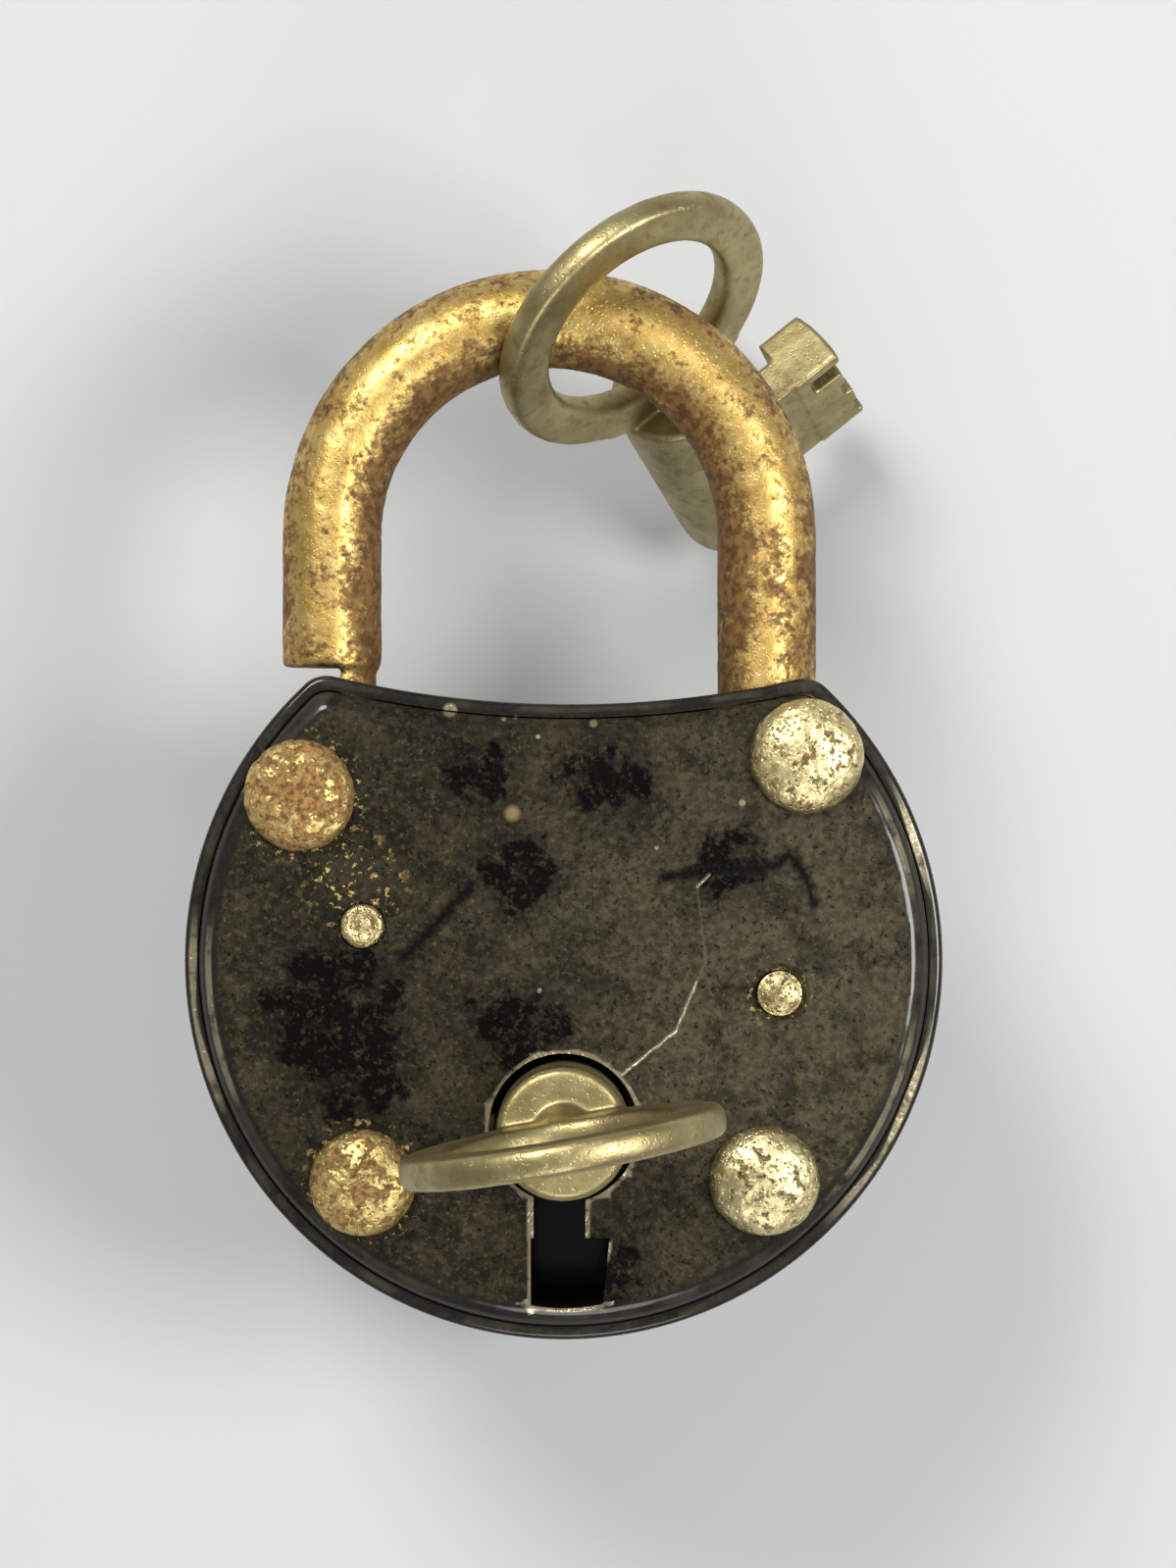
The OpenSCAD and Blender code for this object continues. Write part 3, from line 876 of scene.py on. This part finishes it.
def case_enamel():
    """Black enamel worn to brown, with glossy leftovers, rust freckles and bright scratches."""
    material, tree, shader, place = new_material("worn_black_enamel")
    wear = stored(tree)
    out_of_face = put(tree, "ShaderNodeSeparateXYZ", {"Vector": place}).outputs["Z"]
    front = ramp(tree, out_of_face, 3.0, 5.0)
    colour, gloss = black_leftovers(tree, place, front, enamel_ground(tree, place))
    colour, freckle = rust_freckles(tree, place, front, colour)
    blister = times(tree, area(tree, place, *BLISTER, 0.15, 0.70), front)
    colour = tint(tree, blister, 0.75, colour, (0.26, 0.19, 0.085, 1))
    black_rim = ramp(tree, wear, 0.15, 0.6)
    colour = tint(tree, black_rim, 0.85, colour, (0.004, 0.0036, 0.0026, 1))

    scratch = face_scratch(tree, place, front)
    chips = times(tree, areas(tree, place, CHIPS), front)
    # bright holds real scratches, chips and worn edges, and the painted rim highlights.
    bright = any_of(tree, [scratch, chips, bare_edges_and_rim_highlights(tree, place, front, wear)])
    colour = blend_colour(tree, bright, colour, (0.36, 0.31, 0.21, 1))
    cracks = [stroke(tree, place, points, 0.75, 0.9) for points in (LEFT_CRACK, RIGHT_CRACK)]
    dark = times(tree, any_of(tree, cracks), front)
    colour = blend_colour(tree, dark, colour, (0.0015, 0.0014, 0.0012, 1))
    tree.links.new(colour, shader.inputs["Base Color"])

    rough = minus(tree, 0.50, times(tree, bright, 0.22))
    rough = minus(tree, rough, times(tree, gloss, 0.15))
    rough = plus(tree, rough, times(tree, freckle, 0.3))
    tree.links.new(rough, shader.inputs["Roughness"])
    tree.links.new(times(tree, bright, 0.85), shader.inputs["Metallic"])
    coat = any_of(tree, [times(tree, black_rim, 0.55), times(tree, gloss, 0.05)])
    tree.links.new(coat, shader.inputs["Coat Weight"])
    shader.inputs["Coat Roughness"].default_value = 0.14
    shader.inputs["Specular IOR Level"].default_value = 0.07
    cut = any_of(tree, [dark, scratch])
    bump(tree, shader, enamel_height(tree, place, gloss, freckle, cut), 0.00012)
    return material


def gilt_steel():
    """Gold-coloured plating over a rusting steel rod."""
    material, tree, shader, place = new_material("worn_gilt_steel", 1.0)
    wear = stored(tree)
    mellow = patches(tree, place, 0.35, 0.5, 0.16)
    gold = blend_colour(tree, mellow, (0.66, 0.46, 0.15, 1), (0.50, 0.33, 0.095, 1))
    pale = patches(tree, place, 0.9, 0.56, 0.10, (3, 8, 1))
    gold = tint(tree, pale, 0.5, gold, (0.78, 0.61, 0.27, 1))
    # The stored wear sets how much brown shows, painted shade on the rod's outer side included.
    lean = minus(tree, 0.655, times(tree, wear, 0.27))
    broad = put(tree, "ShaderNodeTexNoise", {
        "Vector": place, "Scale": 0.55, "Detail": 7.0, "Roughness": 0.68})
    fine = put(tree, "ShaderNodeTexNoise", {
        "Vector": shifted(tree, place, (9, 4, 6)), "Scale": 2.1, "Detail": 5.0, "Roughness": 0.7})
    mixed = plus(tree, times(tree, broad.outputs["Fac"], 0.55),
                 times(tree, fine.outputs["Fac"], 0.45))
    rust = ramp(tree, mixed, minus(tree, lean, 0.075), plus(tree, lean, 0.075))
    shade = patches(tree, place, 1.5, 0.5, 0.12, (1, 6, 2))
    brown = blend_colour(tree, shade, (0.105, 0.050, 0.014, 1), (0.23, 0.125, 0.036, 1))
    colour = blend_colour(tree, rust, gold, brown)
    tree.links.new(colour, shader.inputs["Base Color"])
    tree.links.new(minus(tree, 1.0, times(tree, rust, 0.55)), shader.inputs["Metallic"])
    rough = plus(tree, 0.36, times(tree, rust, 0.24))
    rough = plus(tree, rough, times(tree, fine.outputs["Fac"], 0.10))
    tree.links.new(rough, shader.inputs["Roughness"])
    height = pit_height(tree, place, 4.2, 0.6)
    height = minus(tree, height, times(tree, rust, 0.25))
    bump(tree, shader, height, 0.00005)
    return material


def rivet_metal(name, metal, rust_dark, rust_pale, cover, offset, centre, roughness, gather):
    """Rusty rivet head. centre is where the brown gathers, as x, y and reach, and gather how much."""
    material, tree, shader, place = new_material(name, 1.0)
    tone = patches(tree, place, 1.4, 0.5, 0.15, offset)
    base = blend_colour(tree, tone, metal, tuple(c * 0.62 for c in metal[:3]) + (1,))
    broad = put(tree, "ShaderNodeTexNoise", {
        "Vector": shifted(tree, place, offset), "Scale": 1.15, "Detail": 7.0, "Roughness": 0.7})
    x, y, reach = centre
    middle = area(tree, place, x, y, 0.3, reach)
    level = plus(tree, broad.outputs["Fac"], times(tree, middle, gather))
    rust = ramp(tree, level, 1 - cover - 0.04, 1 - cover + 0.04)
    patchy = patches(tree, place, 2.4, 0.5, 0.12, offset)
    brown = blend_colour(tree, patchy, rust_dark, rust_pale)
    colour = blend_colour(tree, rust, base, brown)
    tree.links.new(colour, shader.inputs["Base Color"])
    tree.links.new(minus(tree, 1.0, times(tree, rust, 0.65)), shader.inputs["Metallic"])
    tree.links.new(plus(tree, roughness, times(tree, rust, 0.30)), shader.inputs["Roughness"])
    height = pit_height(tree, shifted(tree, place, offset), 2.8, 0.8)
    height = minus(tree, height, times(tree, rust, 0.3))
    bump(tree, shader, height, 0.00016)
    return material


def nickel_silver(name, offset):
    """Matte, slightly tarnished nickel silver."""
    material, tree, shader, place = new_material(name, 1.0)
    mellow = patches(tree, place, 0.35, 0.5, 0.18, offset)
    colour = blend_colour(tree, mellow, (0.44, 0.375, 0.19, 1), (0.31, 0.255, 0.12, 1))
    stain = patches(tree, place, 1.1, 0.58, 0.08, offset)
    colour = tint(tree, stain, 0.45, colour, (0.23, 0.175, 0.075, 1))
    tree.links.new(colour, shader.inputs["Base Color"])
    fine = put(tree, "ShaderNodeTexNoise", {
        "Vector": shifted(tree, place, offset), "Scale": 3.5, "Detail": 4.0, "Roughness": 0.6})
    rough = plus(tree, 0.34, times(tree, fine.outputs["Fac"], 0.16))
    tree.links.new(plus(tree, rough, times(tree, stain, 0.10)), shader.inputs["Roughness"])
    height = pit_height(tree, shifted(tree, place, offset), 3.4, 0.4)
    bump(tree, shader, height, 0.00006)
    return material


def plain_metal(name, colour, roughness, stretch):
    """Rolled or turned metal of the hidden pieces, with light grain and a few stains."""
    material, tree, shader, place = new_material(name, 1.0)
    grain = put(tree, "ShaderNodeTexNoise", {
        "Vector": shifted(tree, place, (0, 0, 0), stretch), "Scale": 2.0, "Detail": 4.0})
    stain = patches(tree, place, 0.6, 0.55, 0.10, (6, 2, 4))
    darker = tuple(c * 0.55 for c in colour[:3]) + (1,)
    shade = tint(tree, grain.outputs["Fac"], 0.6, colour, darker)
    shade = tint(tree, stain, 0.6, shade, (0.10, 0.055, 0.024, 1))
    tree.links.new(shade, shader.inputs["Base Color"])
    rough = plus(tree, roughness, times(tree, stain, 0.25))
    tree.links.new(rough, shader.inputs["Roughness"])
    bump(tree, shader, grain.outputs["Fac"], 0.00003)
    return material


# ---- Making the pieces ----

enamel = case_enamel()
make_front_shell(enamel)
make_back_shell(enamel)

rivet_looks = {
    "rivet_upper_left": rivet_metal(
        "crusty_gold_rivet", (0.74, 0.55, 0.22, 1), (0.13, 0.062, 0.018, 1), (0.37, 0.205, 0.065, 1),
        0.50, (3, 1, 2), (-17.2, 11.0, 2.4), 0.46, 0.12),
    "rivet_upper_right": rivet_metal(
        "silvery_rivet", (0.86, 0.735, 0.38, 1), (0.09, 0.045, 0.016, 1), (0.30, 0.17, 0.07, 1),
        0.415, (8, 5, 1), (16.4, 13.4, 2.8), 0.36, 0.03),
    "rivet_lower_left": rivet_metal(
        "golden_rusty_rivet", (0.75, 0.57, 0.23, 1), (0.14, 0.068, 0.020, 1), (0.37, 0.21, 0.07, 1),
        0.47, (2, 7, 4), (-13.0, -15.0, 2.0), 0.42, 0.06),
    "rivet_lower_right": rivet_metal(
        "silver_gold_rivet", (0.87, 0.75, 0.40, 1), (0.05, 0.032, 0.014, 1), (0.26, 0.17, 0.07, 1),
        0.42, (5, 9, 6), (12.6, -13.6, 2.4), 0.38, 0.03),
}
for number, (name, look) in enumerate(rivet_looks.items()):
    make_rivet(name, look, 3.0 + 5.0 * number, 0.16 if number in (0, 2) else 0.10)

# A place off the lock, because the brown on the pin ends gathers in no one spot
NOWHERE = (30, 30, 1)
pin_look = rivet_metal(
    "pin_end_metal", (0.60, 0.49, 0.25, 1), (0.11, 0.06, 0.025, 1), (0.34, 0.22, 0.09, 1),
    0.42, (4, 4, 4), NOWHERE, 0.36, 0.20)
make_pin("lever_pin", LEVER_PIN, pin_look, 2.0)
make_pin("spring_pin", SPRING_PIN, pin_look, 6.0)

make_shackle(gilt_steel())

in_lock = Matrix.Translation((*KEY_AT, 0)) @ Matrix.Rotation(math.radians(-KEY_TURNED), 4, "Z")
hung = (
    Matrix.Translation(SPARE_RING)
    @ Matrix.Rotation(math.radians(SPARE_TURN), 4, "Z")
    @ Matrix.Rotation(math.radians(SPARE_DIP), 4, "Y")
    @ Matrix.Rotation(math.radians(SPARE_ROLL), 4, "X")
    @ Matrix.Rotation(math.radians(-90), 4, "Y")
    @ Matrix.Rotation(math.radians(180), 4, "Z")
    @ Matrix.Translation((0, 0, -BOW_Z))
)
make_key("key_in_lock", "key", "key", nickel_silver("key_metal", (2, 3, 5)), in_lock, 4.4)
make_key("key_on_shackle", "spare_key", "shackle", nickel_silver("spare_key_metal", (9, 1, 7)), hung, 9.1)

inner_steel = plain_metal("dull_steel", (0.30, 0.29, 0.27, 1), 0.40, (1, 1, 6))
spring_steel = plain_metal("blued_spring_steel", (0.16, 0.17, 0.19, 1), 0.32, (1, 1, 4))
lever_brass = plain_metal("dull_sheet_brass", (0.55, 0.40, 0.16, 1), 0.38, (1, 5, 1))
for node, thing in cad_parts.items():
    look = None
    if node.startswith("lever_spring") or node == "shackle_spring":
        look = spring_steel
    elif "spacer" in node or node == "key_post":
        look = inner_steel
    elif node.removeprefix("lever_").isdigit():
        look = lever_brass
    if look:
        for slot in thing.material_slots:
            slot.material = look


# ---- Backdrop, lights and camera ----

BOARD_SIZE = 1.2
BOARD_BEHIND = 0.030


def backdrop():
    """Pale board behind the lock, seen only from its front, so it never hides the back."""
    material = bpy.data.materials.new("pale_board")
    material.use_nodes = True
    tree = material.node_tree
    shader = tree.nodes["Principled BSDF"]
    shader.inputs["Base Color"].default_value = (0.50, 0.51, 0.53, 1)
    shader.inputs["Roughness"].default_value = 0.9
    clear = put(tree, "ShaderNodeBsdfTransparent")
    side = put(tree, "ShaderNodeNewGeometry")
    both = put(tree, "ShaderNodeMixShader", {
        0: side.outputs["Backfacing"], 1: shader.outputs[0], 2: clear.outputs[0]})
    tree.links.new(both.outputs[0], tree.nodes["Material Output"].inputs["Surface"])
    bm = bmesh.new()
    bmesh.ops.create_grid(bm, x_segments=2, y_segments=2, size=BOARD_SIZE / 2)
    bmesh.ops.rotate(bm, verts=bm.verts, matrix=Matrix.Rotation(math.radians(90), 3, "X"))
    bmesh.ops.translate(bm, verts=bm.verts, vec=(0, BOARD_BEHIND, 0))
    board = mesh_object(bm, "pale_backdrop")
    board.data.materials.append(material)


def lamp(name, at, aim, size, watts, colour=(1, 1, 1)):
    light = bpy.data.lights.new(name, "AREA")
    light.shape = "DISK"
    light.size = size
    light.energy = watts
    light.color = colour
    thing = bpy.data.objects.new(name, light)
    thing.location = at
    thing.rotation_euler = (Vector(aim) - Vector(at)).to_track_quat("-Z", "Y").to_euler()
    scene.collection.objects.link(thing)


backdrop()
middle_of_lock = (0, 0, -0.03)
lamp("window_light", (-0.20, -0.46, 0.30), middle_of_lock, 0.22, 2.7, (1.0, 0.98, 0.93))
lamp("side_light", (0.30, -0.42, -0.02), middle_of_lock, 0.20, 2.1, (1.0, 0.98, 0.94))
lamp("low_light", (0.02, -0.34, -0.42), middle_of_lock, 0.20, 0.7)
lamp("back_light", (0.10, 0.55, 0.25), middle_of_lock, 0.40, 3.0)

world = bpy.data.worlds.new("soft_room")
scene.world = world
world.use_nodes = True
world.node_tree.nodes["Background"].inputs["Color"].default_value = (0.84, 0.84, 0.83, 1)
world.node_tree.nodes["Background"].inputs["Strength"].default_value = 0.38

camera = bpy.data.objects.new("camera", bpy.data.cameras.new("camera"))
scene.collection.objects.link(camera)
camera.location = (0.00263, -0.307, -0.02835)
camera.rotation_euler = (math.radians(90), 0, 0)
camera.data.lens = 103.4
camera.data.sensor_width = 36
camera.data.clip_start = 0.01
scene.camera = camera

scene.view_settings.view_transform = "Standard"
